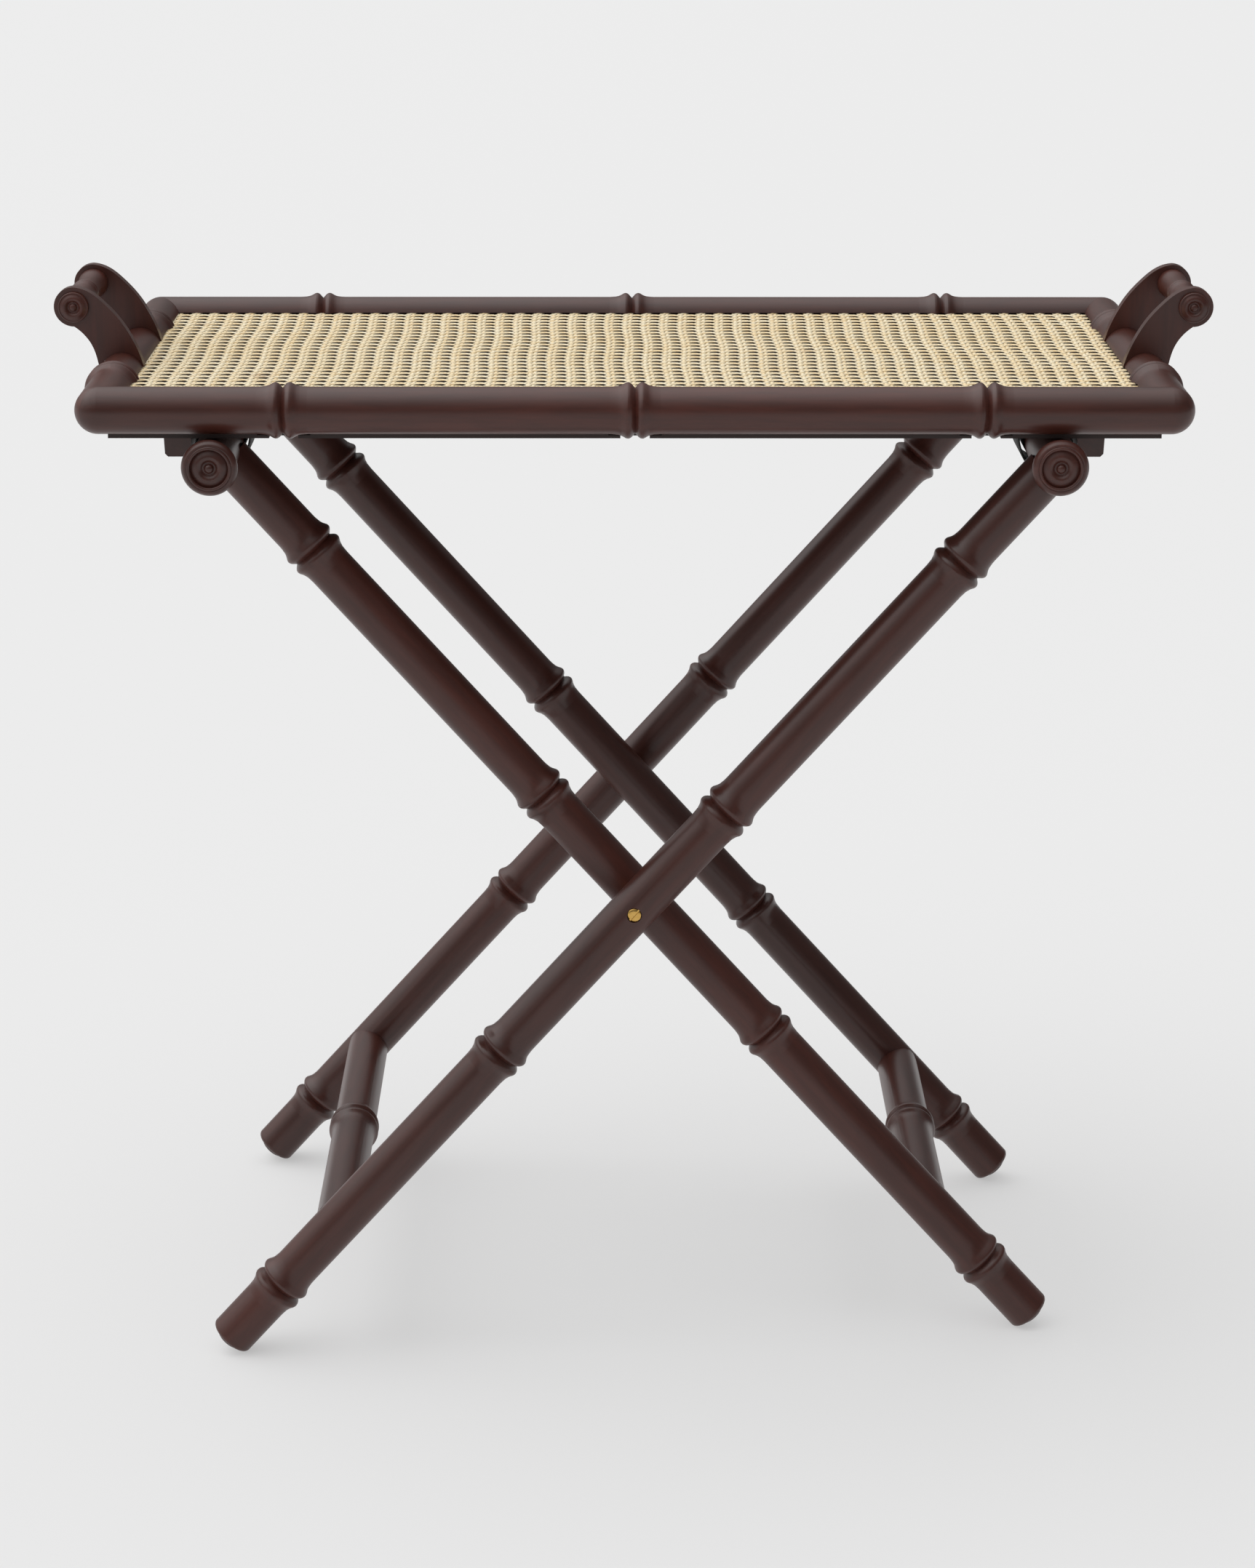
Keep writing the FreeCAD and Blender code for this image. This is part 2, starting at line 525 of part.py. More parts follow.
def make_leg(name, lean_side, y, outward, outer):
    """A turned leg. outward is the side of its outer face, -1 front or 1 rear."""
    up = leg_axis(lean_side)
    body = new_body(name)
    body.Placement = axes_placement(V(0, y, D["pivot_height"]), V(0, 1, 0).cross(up), V(0, 1, 0))
    r = LEG_R
    runs = [("line", [(0, -DOWN), (r - 3.0, -DOWN)]),
            ("curve", quarter_arc(r - 3.0, -DOWN + 3.0, 3.0, -90, 0, 6)),
            *turned_wall(r, -DOWN + 3.0, UP - 8.0, LEG_RINGS),
            ("line", [(r, UP - 8.0), (0, UP - 8.0), (0, -DOWN)])]
    lathe(body, name + "_turning", runs)
    cylinder_feature(body, "Subtractive", name + "_cope", V(0, -30, UP), V(0, 1, 0),
                     TOP_R + SEAT, 60.0, "dims.top_rail_diameter / 2 + dims.seat_gap")
    cylinder_feature(body, "Additive", name + "_tenon", V(0, 0, UP - TOP_R - 8.0), V(0, 0, 1),
                     D["tenon_diameter"] / 2, LEG_TENON + 8.0, "dims.tenon_diameter / 2")
    cylinder_feature(body, "Subtractive", name + "_socket",
                     V(0, -outward * 30, -D["stretcher_drop"]), V(0, outward, 0),
                     STRETCHER_TENON_R + SEAT, 30.0 - r + STRETCHER_TENON + 0.3)
    cylinder_feature(body, "Subtractive", name + "_glide_hole", V(0, 0, -DOWN - 5), V(0, 0, 1),
                     GLIDE_SHANK_R + SEAT, GLIDE_SHANK + 5.5)
    if outer:
        cylinder_feature(body, "Subtractive", name + "_pivot_hole", V(0, -40, 0), V(0, 1, 0),
                         SCREW_R + RUN, 80.0, "dims.screw_diameter / 2 + dims.running_gap")
        cylinder_feature(body, "Subtractive", name + "_head_recess",
                         V(0, outward * (r + 10), 0), V(0, -outward, 0),
                         HEAD_RECESS_R, 10 + HEAD_RECESS)
        cylinder_feature(body, "Subtractive", name + "_spot_face",
                         V(0, -outward * (r + 10), 0), V(0, outward, 0), SPOT_R, 10 + SPOT)
    else:
        cylinder_feature(body, "Subtractive", name + "_spot_face",
                         V(0, outward * (r + 10), 0), V(0, -outward, 0), SPOT_R, 10 + SPOT)
        cylinder_feature(body, "Subtractive", name + "_insert_hole",
                         V(0, outward * r, 0), V(0, -outward, 0), INSERT_R + SEAT,
                         SPOT + INSERT_LEN + 0.2)
        cylinder_feature(body, "Subtractive", name + "_screw_end",
                         V(0, outward * r, 0), V(0, -outward, 0), SCREW_R + RUN, 24.0)
    doc.recompute()


make_leg("outer_leg_front", 1, -OUTER_Y, -1, True)
make_leg("outer_leg_rear", 1, OUTER_Y, 1, True)
make_leg("inner_leg_front", -1, -INNER_Y, -1, False)
make_leg("inner_leg_rear", -1, INNER_Y, 1, False)

# knob at each end of a top rail, as (radius, distance in from its face)
KNOB_R = D["knob_diameter"] / 2
KNOB = [("curve", [(0.0, 0.5), (1.4, 0.75), (2.4, 1.5), (2.9, 2.7)]),
        ("curve", [(2.9, 2.7), (3.4, 3.1), (4.3, 3.0), (5.4, 2.0), (7.0, 1.2), (8.8, 1.5),
                   (10.4, 2.3), (11.9, 3.0)]),
        ("line", [(11.9, 3.0), (12.1, 1.5)]),
        ("curve", [(12.1, 1.5), (12.5, 0.9), (13.2, 0.7), (13.9, 0.95), (14.2, 1.6)]),
        ("curve", [(14.2, 1.6), (14.7, 1.5), (15.7, 1.8), (16.7, 2.9), (KNOB_R, 5.2),
                   (KNOB_R - 0.2, 7.6), (KNOB_R - 1.0, 9.8), (KNOB_R - 2.2, 11.4), (TOP_R, 12.2)])]


def make_top_rail(name, lean_side, leg_y):
    up = leg_axis(lean_side)
    body = new_body(name)
    base = V(0, 0, D["pivot_height"]) + up * UP
    x_local = up
    body.Placement = axes_placement(base, x_local, V(0, 1, 0).cross(x_local))
    half = D["top_rail_length"] / 2
    runs = [(kind, [(r, -half + a) for r, a in points]) for kind, points in KNOB]
    runs.append(("line", [(TOP_R, -half + 12.2), (TOP_R, half - 12.2)]))
    runs += [(kind, [(r, half - a) for r, a in reversed(points)])
             for kind, points in reversed(KNOB)]
    runs.append(("line", [(0, half - 0.5), (0, -half + 0.5)]))
    lathe(body, name + "_turning", runs)
    for side, tag in ((-1, "a"), (1, "b")):
        cylinder_feature(body, "Subtractive", "%s_mortise_%s" % (name, tag),
                         V(-TOP_R - 5, 0, side * leg_y), V(1, 0, 0),
                         D["tenon_diameter"] / 2 + SEAT, 5 + LEG_TENON + 0.3,
                         "dims.tenon_diameter / 2 + dims.seat_gap")
    doc.recompute()


make_top_rail("outer_top_rail", 1, OUTER_Y)
make_top_rail("inner_top_rail", -1, INNER_Y)


def make_stretcher(name, lean_side, leg_y):
    up = leg_axis(lean_side)
    body = new_body(name)
    base = V(0, 0, D["pivot_height"]) - up * D["stretcher_drop"]
    body.Placement = axes_placement(base, up, V(0, 1, 0).cross(up))
    end = leg_y - 4.0
    tip = leg_y - LEG_R + STRETCHER_TENON
    runs = [("line", [(0, -end), (STRETCHER_R, -end)]),
            *turned_wall(STRETCHER_R, -end, end, [0.0]),
            ("line", [(STRETCHER_R, end), (0, end), (0, -end)])]
    lathe(body, name + "_turning", runs)
    for side, tag in ((-1, "a"), (1, "b")):
        cylinder_feature(body, "Subtractive", "%s_cope_%s" % (name, tag),
                         V(-30, 0, side * leg_y), V(1, 0, 0), LEG_R + SEAT, 60.0,
                         "dims.leg_diameter / 2 + dims.seat_gap")
        cylinder_feature(body, "Additive", "%s_tenon_%s" % (name, tag),
                         V(0, 0, side * (leg_y - LEG_R - 6)), V(0, 0, side),
                         STRETCHER_TENON_R, tip - (leg_y - LEG_R - 6))
    doc.recompute()


make_stretcher("outer_stretcher", 1, OUTER_Y)
make_stretcher("inner_stretcher", -1, INNER_Y)

# ---------------------------------------------------------------- foot glides
GLIDE_R, GLIDE_H = D["glide_diameter"] / 2, D["glide_height"]
for frame, lean_side, leg_y in (("outer", 1, OUTER_Y), ("inner", -1, INNER_Y)):
    up = leg_axis(lean_side)
    for end, way in ((-1, "front"), (1, "rear")):
        body = new_body("glide_%s_%s" % (frame, way))
        body.Placement = axes_placement(V(0, end * leg_y, D["pivot_height"]) - up * DOWN,
                                        V(0, 1, 0).cross(up), V(0, 1, 0))
        lathe(body, "glide_turning_%s_%s" % (frame, way), [
            ("line", [(0, GLIDE_SHANK), (0, -GLIDE_H)]),
            ("curve", [(0, -GLIDE_H), (3.5, -GLIDE_H + 0.25), (6.6, -GLIDE_H + 1.0),
                       (9.0, -GLIDE_H + 2.2), (GLIDE_R, -0.4)]),
            ("line", [(GLIDE_R, -0.4), (GLIDE_R, 0), (GLIDE_SHANK_R, 0),
                      (GLIDE_SHANK_R, GLIDE_SHANK), (0, GLIDE_SHANK)])])

# ---------------------------------------------------------------- pivots
HEAD_R_SCREW, HEAD_H_SCREW = 4.6, 1.6
for end, way in ((-1, "front"), (1, "rear")):
    y_floor = end * (OUTER_Y + LEG_R - HEAD_RECESS)
    inner_floor = end * (INNER_Y + LEG_R - SPOT)
    outer_floor = end * (OUTER_Y - LEG_R + SPOT)
    under_head = y_floor + end * 0.15

    # screw, turned about Z with the underside of its head at zero and its head towards -Z
    reach = abs(under_head - inner_floor) + 21.5
    body = new_body("pivot_screw_" + way)
    body.Placement = axes_placement(V(0, under_head, D["pivot_height"]), V(1, 0, 0),
                                    V(0, 0, 1) if end > 0 else V(0, 0, -1))
    lathe(body, "pivot_screw_turning_" + way, [
        ("line", [(0, reach), (0, -HEAD_H_SCREW)]),
        ("curve", [(0, -HEAD_H_SCREW), (2.2, -HEAD_H_SCREW + 0.08), (3.8, -HEAD_H_SCREW + 0.4),
                   (HEAD_R_SCREW, -0.7)]),
        ("line", [(HEAD_R_SCREW, -0.7), (HEAD_R_SCREW, 0), (SCREW_R, 0), (SCREW_R, reach - 1.0),
                  (SCREW_R - 1.0, reach), (0, reach)])])
    slot = body.newObject("PartDesign::SubtractiveBox", "pivot_screw_slot_" + way)
    slot.Length, slot.Width, slot.Height = 12.0, 1.2, 1.0
    turn = FreeCAD.Rotation(V(0, 0, 1), -49.0 if end < 0 else 49.0)
    slot.Placement = FreeCAD.Placement(turn.multVec(V(-6.0, -0.6, 0)) + V(0, 0, -HEAD_H_SCREW - 0.1),
                                       turn)
    doc.recompute()

    # threaded insert in the inner leg and spacer bush between the legs
    tube = part_cylinder("insert_%s_tube" % way, INSERT_R, INSERT_LEN, V(0, inner_floor, D["pivot_height"]),
                         V(0, -end, 0))
    bore = part_cylinder("insert_%s_bore" % way, SCREW_R + SEAT, INSERT_LEN + 2,
                         V(0, inner_floor + end, D["pivot_height"]), V(0, -end, 0))
    insert = cut("pivot_insert_" + way, tube, [bore])
    insert.Label = "pivot_insert_" + way
    exported.append(insert)
    width = abs(outer_floor - inner_floor) - 0.2
    tube = part_cylinder("spacer_%s_tube" % way, 7.0, width, V(0, inner_floor, D["pivot_height"]),
                         V(0, end, 0))
    bore = part_cylinder("spacer_%s_bore" % way, SCREW_R + SEAT, width + 2,
                         V(0, inner_floor - end, D["pivot_height"]), V(0, end, 0))
    spacer = cut("pivot_spacer_" + way, tube, [bore])
    spacer.Label = "pivot_spacer_" + way
    exported.append(spacer)

# ---------------------------------------------------------------- straps
# each strap spans the two top rails and ends in a stitched loop round each of them
LOOP_R, STRAP_T = D["strap_loop"], D["strap_thickness"]
LOOP_X = TOP_X
LOOP_Z = TOP_Z + TOP_R - (LOOP_R - STRAP_T) + SEAT / 2
STRAP_TOP = LOOP_Z + LOOP_R
LAP_IN, LAP_OUT = LOOP_X - 55.0, LOOP_X - 6.0
for end, way in ((-1, "front"), (1, "rear")):
    y0 = end * D["strap_centre"] - D["strap_width"] / 2
    width = {"Width": "dims.strap_width"}
    solids = [bound_box("strap_%s_span" % way, 2 * LOOP_X, D["strap_width"], STRAP_T,
                        V(-LOOP_X, y0, STRAP_TOP - STRAP_T), width)]
    tools = []
    for side, tag in ((-1, "l"), (1, "r")):
        solids.append(part_cylinder("strap_%s_loop_%s" % (way, tag), LOOP_R, D["strap_width"],
                                    V(side * LOOP_X, y0, LOOP_Z), V(0, 1, 0)))
        solids.append(bound_box("strap_%s_lap_%s" % (way, tag), LAP_OUT - LAP_IN, D["strap_width"],
                                STRAP_T, V(LAP_IN if side > 0 else -LAP_OUT, y0,
                                           STRAP_TOP - 2 * STRAP_T), width))
        tools.append(part_cylinder("strap_%s_eye_%s" % (way, tag), LOOP_R - STRAP_T,
                                   D["strap_width"] + 2, V(side * LOOP_X, y0 - 1, LOOP_Z),
                                   V(0, 1, 0)))
    fused = doc.addObject("Part::MultiFuse", "strap_%s_blank" % way)
    fused.Shapes = solids
    doc.recompute()
    strap = cut("strap_" + way, fused, tools)
    strap.Label = "strap_" + way
    exported.append(strap)

# ---------------------------------------------------------------- check and export
doc.recompute()
bad = [o.Label for o in doc.Objects if "Invalid" in o.State or "Error" in o.State]
for obj in exported:
    if obj.Shape.isNull() or not obj.Shape.isValid():
        bad.append(obj.Label)
if bad:
    raise RuntimeError("faulty objects: %s" % bad)
for obj in exported:
    obj.Shape.exportStep("parts/%s.step" % obj.Label)
    box = obj.Shape.BoundBox
    print("%-28s solids %d vol %10.1f  x %.1f..%.1f y %.1f..%.1f z %.1f..%.1f" % (
        obj.Label, len(obj.Shape.Solids), obj.Shape.Volume, box.XMin, box.XMax, box.YMin, box.YMax,
        box.ZMin, box.ZMax))
print("parts", len(exported))
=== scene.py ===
"""Looks for a folding tray table: a cane-topped bamboo-turned tray on a folding cross-leg stand.

Every object is in metres, in the frame of the solids: X along the tray, Y to the rear, Z up.
"""

import logging
import math
import random
from dataclasses import dataclass, field
from enum import Enum
from typing import Any, Callable, Iterable, Optional, Sequence

import bpy
import numpy as np
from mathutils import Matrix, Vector


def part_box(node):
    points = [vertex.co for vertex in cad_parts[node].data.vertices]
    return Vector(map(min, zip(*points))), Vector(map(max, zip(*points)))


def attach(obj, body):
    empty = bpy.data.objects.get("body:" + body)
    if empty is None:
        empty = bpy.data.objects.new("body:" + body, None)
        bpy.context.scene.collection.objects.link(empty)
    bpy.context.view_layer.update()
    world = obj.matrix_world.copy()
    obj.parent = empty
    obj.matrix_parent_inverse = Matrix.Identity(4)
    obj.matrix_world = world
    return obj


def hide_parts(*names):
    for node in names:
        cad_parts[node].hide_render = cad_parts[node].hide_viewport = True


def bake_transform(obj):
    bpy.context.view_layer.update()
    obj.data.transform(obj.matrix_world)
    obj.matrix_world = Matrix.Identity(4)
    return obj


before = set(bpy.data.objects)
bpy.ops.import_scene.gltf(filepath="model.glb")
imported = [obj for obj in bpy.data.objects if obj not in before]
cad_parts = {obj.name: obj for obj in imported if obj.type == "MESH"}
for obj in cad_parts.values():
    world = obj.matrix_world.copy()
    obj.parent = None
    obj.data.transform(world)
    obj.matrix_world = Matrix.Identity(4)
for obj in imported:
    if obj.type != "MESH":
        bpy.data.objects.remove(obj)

LOG = logging.getLogger("tray_table")
MM = 0.001
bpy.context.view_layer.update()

Point = tuple[float, float, float]
Section = Sequence[tuple[float, float]]

# a colour mix carries several sockets of one name, so its own are found by place
COLOUR_MIX = {"data_type": "RGBA"}
MIX_SHARE, MIX_FIRST, MIX_SECOND, MIX_RESULT = 0, 6, 7, 2
FINE_RELIEF = 0.2 * MM
LEG_LEAN = math.radians(48.06)
QUARTER = math.radians(90.0)


# ------------------------------------------------------------------ colours and nodes
def rgb(hex_code: str) -> tuple[float, float, float, float]:
    """Turn an sRGB hex value into the linear colour that shaders use.

    Args:
        hex_code: six hex digits, with or without a leading #.

    Returns:
        Linear red, green, blue and an alpha of 1.
    """
    digits = hex_code.lstrip("#")
    channels = [int(digits[i:i + 2], 16) / 255 for i in (0, 2, 4)]
    linear = [c / 12.92 if c <= 0.04045 else ((c + 0.055) / 1.055) ** 2.4 for c in channels]
    return (linear[0], linear[1], linear[2], 1.0)


def add_node(tree: bpy.types.NodeTree, kind: str, settings: Optional[dict[str, Any]] = None,
             inputs: Optional[dict[Any, Any]] = None) -> bpy.types.Node:
    """Add one shader node, set its properties and fill or link its inputs.

    Args:
        tree: the material's node tree.
        kind: the node's type name without the ShaderNode prefix.
        settings: properties of the node, by name.
        inputs: values or output sockets for its inputs, by socket name or index.

    Returns:
        The new node.
    """
    node = tree.nodes.new("ShaderNode" + kind)
    for name, value in (settings or {}).items():
        setattr(node, name, value)
    for key, value in (inputs or {}).items():
        socket = node.inputs[key]
        if isinstance(value, bpy.types.NodeSocket):
            tree.links.new(value, socket)
        else:
            socket.default_value = value
    return node


class Grain(Enum):
    """Which way a piece's timber runs, as the turn in radians that brings its grain onto X."""

    LENGTHWISE = (0.0, 0.0, 0.0)
    CROSSWISE = (0.0, 0.0, -QUARTER)
    LEG_RISING_RIGHT = (0.0, LEG_LEAN, 0.0)
    LEG_RISING_LEFT = (0.0, -LEG_LEAN, 0.0)
    UPRIGHT = (0.0, QUARTER, 0.0)


# ------------------------------------------------------------------ finishes
@dataclass(frozen=True)
class Finish:
    """A surface with uniform settings on the shader's own sockets."""

    name: str
    roughness: float
    ior: float = 1.5
    metallic: float = 0.0

    def start(self) -> tuple[bpy.types.Material, bpy.types.NodeTree, bpy.types.Node]:
        """Make the material with its shader set up.

        Returns:
            The material, its node tree and its Principled shader.
        """
        material = bpy.data.materials.new(self.name)
        material.use_nodes = True
        tree = material.node_tree
        tree.nodes.clear()
        shader = add_node(tree, "BsdfPrincipled", inputs={
            "Roughness": self.roughness, "Metallic": self.metallic})
        if not self.metallic:
            shader.inputs["IOR"].default_value = self.ior
        add_node(tree, "OutputMaterial", inputs={"Surface": shader.outputs[0]})
        return material, tree, shader


@dataclass(frozen=True)
class LacqueredHardwood(Finish):
    """Turned hardwood, stained oxblood brown and brushed with satin lacquer.

    The stain sits unevenly, redder where it is thin and nearly black where it pooled, and the
    lacquer leaves a faint orange-peel that softens its reflections.
    """

    thin_stain: str = "#52281f"
    body_stain: str = "#3e211b"
    pooled_stain: str = "#241410"
    cloud_mm: float = 55.0
    # real vessels are a few tenths of a millimetre across; they are drawn coarser to show
    streak_mm: float = 5.0
    streak_stretch: Point = (0.12, 1.0, 1.0)
    peel_mm: float = 1.6
    stain_range: tuple[float, float] = (0.30, 0.72)
    pooled_range: tuple[float, float] = (0.38, 0.62)
    pooled_share: float = 0.30
    gloss_range: tuple[float, float] = (0.3, 0.7)
    gloss_change: tuple[float, float] = (-0.05, 0.06)
    grain_strength: float = 0.10
    grain_relief: float = 0.4 * MM
    peel_strength: float = 0.05

    def build(self, grain: Grain) -> bpy.types.Material:
        """Make the lacquer for timber that runs one way.

        Args:
            grain: the direction of the timber.

        Returns:
            The material.
        """
        material, tree, shader = self.start()
        material.name = f"{self.name}_{grain.name.lower()}"
        place = add_node(tree, "TexCoord").outputs["Object"]
        along = add_node(tree, "Mapping", inputs={"Vector": place, "Rotation": grain.value})
        drawn = add_node(tree, "Mapping", inputs={"Vector": along.outputs[0],
                                                  "Scale": self.streak_stretch})
        clouds = add_node(tree, "TexNoise", inputs={
            "Vector": drawn.outputs[0], "Scale": 1000.0 / self.cloud_mm, "Detail": 3.0,
            "Roughness": 0.55})
        streaks = add_node(tree, "TexNoise", inputs={
            "Vector": drawn.outputs[0], "Scale": 1000.0 / self.streak_mm, "Detail": 4.0,
            "Roughness": 0.6})
        stain = add_node(tree, "ValToRGB", inputs={"Fac": clouds.outputs["Fac"]})
        tones = (self.body_stain, self.thin_stain)
        for stop, place_on_ramp, tone in zip(stain.color_ramp.elements, self.stain_range, tones):
            stop.position, stop.color = place_on_ramp, rgb(tone)
        depth = add_node(tree, "MapRange", inputs={
            "Value": streaks.outputs["Fac"], "From Min": self.pooled_range[0],
            "From Max": self.pooled_range[1], "To Min": 0.0, "To Max": self.pooled_share})
        tinted = add_node(tree, "Mix", COLOUR_MIX, {
            MIX_SHARE: depth.outputs[0], MIX_FIRST: stain.outputs[0],
            MIX_SECOND: rgb(self.pooled_stain)})
        tree.links.new(tinted.outputs[MIX_RESULT], shader.inputs["Base Color"])
        gloss = add_node(tree, "MapRange", inputs={
            "Value": clouds.outputs["Fac"], "From Min": self.gloss_range[0],
            "From Max": self.gloss_range[1], "To Min": self.roughness + self.gloss_change[0],
            "To Max": self.roughness + self.gloss_change[1]})
        tree.links.new(gloss.outputs[0], shader.inputs["Roughness"])
        peel = add_node(tree, "TexNoise", inputs={
            "Vector": place, "Scale": 1000.0 / self.peel_mm, "Detail": 1.0})
        grain_bump = add_node(tree, "Bump", inputs={
            "Strength": self.grain_strength, "Distance": self.grain_relief,
            "Height": streaks.outputs["Fac"]})
        bump = add_node(tree, "Bump", inputs={
            "Strength": self.peel_strength, "Distance": FINE_RELIEF,
            "Height": peel.outputs["Fac"], "Normal": grain_bump.outputs[0]})
        tree.links.new(bump.outputs[0], shader.inputs["Normal"])
        return material


@dataclass(frozen=True)
class StrippedCane(Finish):
    """Strands split from rattan skin and woven damp.

    The skin keeps its hard natural gloss and a warm straw colour; each strand has its own tone,
    and now and then a browner stretch where a leaf joint was.
    """

    pale: str = "#fff2d2"
    straw: str = "#f9e0b0"
    joint: str = "#b98a50"
    # the fibres of the skin are finer; they are drawn this coarse so that they show
    fibre_mm: float = 0.7
    fibre_strength: float = 0.25
    joint_mm: float = 26.0
    joint_range: tuple[float, float] = (0.64, 0.78)
    joint_share: float = 0.35

    def build(self) -> bpy.types.Material:
        """Make the cane's material, toned by each strand's own value."""
        material, tree, shader = self.start()
        place = add_node(tree, "TexCoord").outputs["Object"]
        tone = add_node(tree, "Attribute", {"attribute_name": "strand_tone"})
        mixed = add_node(tree, "Mix", COLOUR_MIX, {
            MIX_SHARE: tone.outputs["Fac"], MIX_FIRST: rgb(self.pale),
            MIX_SECOND: rgb(self.straw)})
        joints = add_node(tree, "TexNoise", inputs={
            "Vector": place, "Scale": 1000.0 / self.joint_mm, "Detail": 2.0})
        marked = add_node(tree, "MapRange", inputs={
            "Value": joints.outputs["Fac"], "From Min": self.joint_range[0],
            "From Max": self.joint_range[1], "To Min": 0.0, "To Max": self.joint_share})
        colour = add_node(tree, "Mix", COLOUR_MIX, {
            MIX_SHARE: marked.outputs[0], MIX_FIRST: mixed.outputs[MIX_RESULT],
            MIX_SECOND: rgb(self.joint)})
        tree.links.new(colour.outputs[MIX_RESULT], shader.inputs["Base Color"])
        fibres = add_node(tree, "TexNoise", inputs={
            "Vector": place, "Scale": 1000.0 / self.fibre_mm, "Detail": 2.0})
        bump = add_node(tree, "Bump", inputs={
            "Strength": self.fibre_strength, "Distance": FINE_RELIEF,
            "Height": fibres.outputs["Fac"]})
        tree.links.new(bump.outputs[0], shader.inputs["Normal"])
        return material


@dataclass(frozen=True)
class StrapLeather(Finish):
    """Bridle leather, dyed black and burnished with wax.

    Fine pores break up a soft sheen. On the real strap the flesh side and edges stay a little
    greyer; here the colour only drifts greyer in random patches.
    """

    dye: str = "#141511"
    worn: str = "#24251f"
    # real pores are about a quarter of this; they are drawn coarser so that they show
    pore_mm: float = 0.9
    pore_strength: float = 0.3
    wear_per_metre: float = 60.0

    def build(self) -> bpy.types.Material:
        """Make the leather's material."""
        material, tree, shader = self.start()
        place = add_node(tree, "TexCoord").outputs["Object"]
        pores = add_node(tree, "TexVoronoi", inputs={
            "Vector": place, "Scale": 1000.0 / self.pore_mm})
        wear = add_node(tree, "TexNoise", inputs={
            "Vector": place, "Scale": self.wear_per_metre, "Detail": 3.0})
        colour = add_node(tree, "Mix", COLOUR_MIX, {
            MIX_SHARE: wear.outputs["Fac"], MIX_FIRST: rgb(self.dye),
            MIX_SECOND: rgb(self.worn)})
        tree.links.new(colour.outputs[MIX_RESULT], shader.inputs["Base Color"])
        bump = add_node(tree, "Bump", inputs={
            "Strength": self.pore_strength, "Distance": FINE_RELIEF,
            "Height": pores.outputs["Distance"]})
        tree.links.new(bump.outputs[0], shader.inputs["Normal"])
        return material


@dataclass(frozen=True)
class MottledFinish(Finish):
    """A plain material whose colour drifts between two tones, with a fine surface texture."""

    light: str = "#808080"
    dark: str = "#606060"
    mottle_mm: float = 20.0
    texture_mm: float = 1.0
    texture_depth: float = 0.1
    stretch: Point = (1.0, 1.0, 1.0)

    def build(self) -> bpy.types.Material:
        """Make the material."""
        material, tree, shader = self.start()
        place = add_node(tree, "TexCoord").outputs["Object"]
        drawn = add_node(tree, "Mapping", inputs={"Vector": place, "Scale": self.stretch})
        mottle = add_node(tree, "TexNoise", inputs={
            "Vector": drawn.outputs[0], "Scale": 1000.0 / self.mottle_mm, "Detail": 4.0})
        colour = add_node(tree, "Mix", COLOUR_MIX, {
            MIX_SHARE: mottle.outputs["Fac"], MIX_FIRST: rgb(self.dark),
            MIX_SECOND: rgb(self.light)})
        tree.links.new(colour.outputs[MIX_RESULT], shader.inputs["Base Color"])
        fine = add_node(tree, "TexNoise", inputs={
            "Vector": drawn.outputs[0], "Scale": 1000.0 / self.texture_mm, "Detail": 2.0})
        bump = add_node(tree, "Bump", inputs={
            "Strength": self.texture_depth, "Distance": FINE_RELIEF,
            "Height": fine.outputs["Fac"]})
        tree.links.new(bump.outputs[0], shader.inputs["Normal"])
        return material


LACQUER = LacqueredHardwood("satin_lacquered_hardwood", roughness=0.34, ior=1.5)
CANE = StrippedCane("woven_rattan_cane", roughness=0.42, ior=1.5)
LEATHER = StrapLeather("burnished_bridle_leather", roughness=0.62, ior=1.45)
# waxed linen thread stands out as small pale dashes
THREAD = MottledFinish("waxed_linen_thread", roughness=0.6, light="#8d8069", dark="#6d614c",
                       mottle_mm=2.0, texture_mm=0.4, texture_depth=0.3)
# spun brass, polished then lacquered: warm, with fine turning marks
BRASS = MottledFinish("lacquered_turned_brass", roughness=0.26, metallic=1.0, light="#d9b36a",
                      dark="#c49a50", mottle_mm=3.0, texture_mm=0.5, texture_depth=0.15)
# zinc-plated steel, dull and slightly blue
ZINC = MottledFinish("zinc_plated_steel", roughness=0.4, metallic=1.0, light="#b4b6b8",
                     dark="#94979a", mottle_mm=4.0, texture_mm=0.5, texture_depth=0.15)
# moulded nylon glide in the frame's own brown, a little duller than the lacquer
NYLON = MottledFinish("moulded_brown_nylon", roughness=0.42, ior=1.53, light="#46302b",
                      dark="#38251f", mottle_mm=12.0, texture_mm=0.8, texture_depth=0.12)
# thin plywood, stained brown, its dark colour all over partly painted shade for the shadow under
# the cane and tray, with the figure running lengthwise
SHADE_DARKENED_PLYWOOD = MottledFinish("stained_plywood", roughness=0.6, light="#301d19", dark="#211410",
                        mottle_mm=14.0, texture_mm=1.2, texture_depth=0.3,
                        stretch=(0.08, 1.0, 1.0))
# planed softwood strip, washed with the same stain
SOFTWOOD = MottledFinish("planed_softwood", roughness=0.6, light="#6a4c3a", dark="#4e3629",
                         mottle_mm=9.0, texture_mm=1.0, texture_depth=0.3,
                         stretch=(0.06, 1.0, 1.0))
# plain beech, pale with short flecks
BEECH = MottledFinish("turned_beech", roughness=0.55, light="#d3ae80", dark="#b98f62",
                      mottle_mm=3.0, texture_mm=0.6, texture_depth=0.2)


